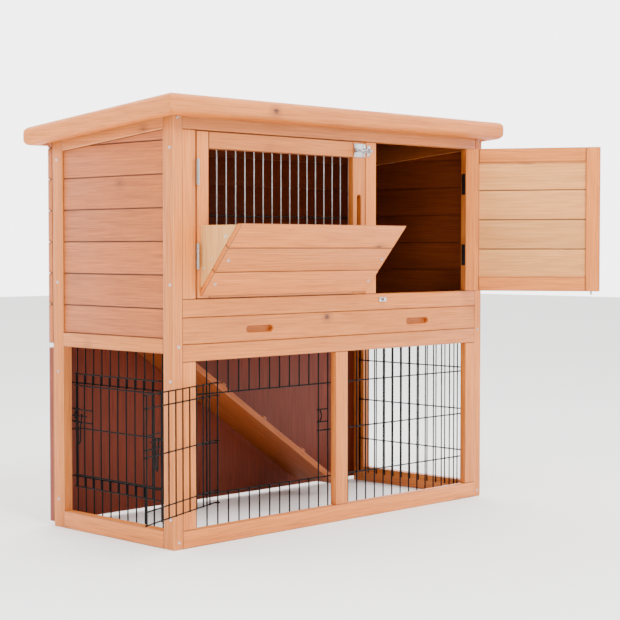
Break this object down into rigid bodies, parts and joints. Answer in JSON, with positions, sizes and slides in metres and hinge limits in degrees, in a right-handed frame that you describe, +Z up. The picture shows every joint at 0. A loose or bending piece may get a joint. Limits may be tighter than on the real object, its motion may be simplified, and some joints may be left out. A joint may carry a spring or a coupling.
{
  "type": "rabbit hutch",
  "caption": "Two-storey wooden hutch: closed room with doors, hay feeder and pull-out tray above a wire run with a ramp, under a lean-to roof.",
  "frame": {"origin": "middle of the underside of the whole hutch as it stands, doors open", "axes": "+X to the hutch's right seen from the front, +Y to the back, +Z up"},
  "size_m": [1.0756, 0.6526, 0.7993],
  "materials": {
    "fir": "planed, clear warm stain",
    "fir_boards": "planed boards, clear warm stain",
    "plywood": "stained plywood",
    "felted_board": "plywood under mineral felt",
    "zinc": "bright zinc plate",
    "galvanised_sheet": "galvanised sheet",
    "galvanised_wire": "galvanised wire",
    "black_wire": "black powder coat",
    "black_metal": "black paint"
  },
  "bodies": {
    "frame": {"front_bottom_rail": "fir", "front_left_grid": "black_wire", "front_lower_left_stile": "fir", "front_lower_mullion": "fir", "front_lower_right_stile": "fir", "front_lower_top_rail": "fir", "front_right_grid": "black_wire", "front_sill_rail": "fir", "front_top_rail": "fir", "front_upper_left_stile": "fir", "front_upper_mullion": "fir", "front_upper_right_stile": "fir", "left_hinge_lower": "zinc", "left_hinge_upper": "zinc", "ramp": "fir_boards", "rear_lower_panel": "plywood", "rear_upper_boards": "fir_boards", "right_hinge_lower": "black_metal", "right_hinge_upper": "black_metal", "roof_edge_front": "fir", "roof_edge_left": "fir", "roof_edge_rear": "fir", "roof_edge_right": "fir", "roof_panel": "felted_board", "side_left_bottom_rail": "fir", "side_left_cladding": "fir_boards", "side_left_front_post": "fir", "side_left_grid": "black_wire", "side_left_mid_rail": "fir", "side_left_rear_post": "fir", "side_left_top_rail": "fir", "side_right_bottom_rail": "fir", "side_right_cladding": "fir_boards", "side_right_front_post": "fir", "side_right_grid": "black_wire", "side_right_mid_rail": "fir", "side_right_rear_post": "fir", "side_right_top_rail": "fir", "upper_floor": "plywood"},
    "left_door": {"feeder_front": "fir", "feeder_left_cheek": "fir", "feeder_right_cheek": "fir", "left_door_bottom_rail": "fir", "left_door_grille": "galvanised_wire", "left_door_hinge_stile": "fir", "left_door_latch_stile": "fir", "left_door_top_rail": "fir", "left_bolt_body": "zinc"},
    "left_bolt": {"left_bolt_rod": "zinc"},
    "right_door": {"right_door_bottom_rail": "fir", "right_door_hinge_stile": "fir", "right_door_latch_stile": "fir", "right_door_panel": "fir", "right_door_top_rail": "fir", "right_bolt_body": "zinc"},
    "right_bolt": {"right_bolt_rod": "zinc"},
    "tray": {"tray_front": "fir", "tray_pan": "galvanised_sheet"},
    "front_wire_door": {"front_wire_door": "black_wire"},
    "side_wire_door": {"side_wire_door": "black_wire"}
  },
  "joints": [
    {"name": "left_door_hinge", "type": "hinge", "parent": "frame", "child": "left_door", "pos_m": [-0.35434, -0.07674, 0.592], "axis": [0, 0, -1], "range_deg": [0, 92]},
    {"name": "left_bolt_slide", "type": "slide", "parent": "left_door", "child": "left_bolt", "axis": [1, 0, 0], "range_m": [0, 0.016]},
    {"name": "right_door_hinge", "type": "hinge", "parent": "frame", "child": "right_door", "pos_m": [0.39726, -0.07674, 0.592], "axis": [0, 0, 1], "range_deg": [-120, 40]},
    {"name": "right_bolt_slide", "type": "slide", "parent": "right_door", "child": "right_bolt", "axis": [0, 0, -1], "range_m": [-0.008, 0.008]},
    {"name": "tray_slide", "type": "slide", "parent": "frame", "child": "tray", "axis": [0, -1, 0], "range_m": [0, 0.3]},
    {"name": "front_wire_door_hinge", "type": "hinge", "parent": "frame", "child": "front_wire_door", "pos_m": [-0.29204, -0.05784, 0.18], "axis": [0, 0, -1], "range_deg": [-158, 0]},
    {"name": "side_wire_door_hinge", "type": "hinge", "parent": "frame", "child": "side_wire_door", "pos_m": [-0.38704, -0.01724, 0.187], "axis": [0, 0, 1], "range_deg": [0, 95]}
  ]
}
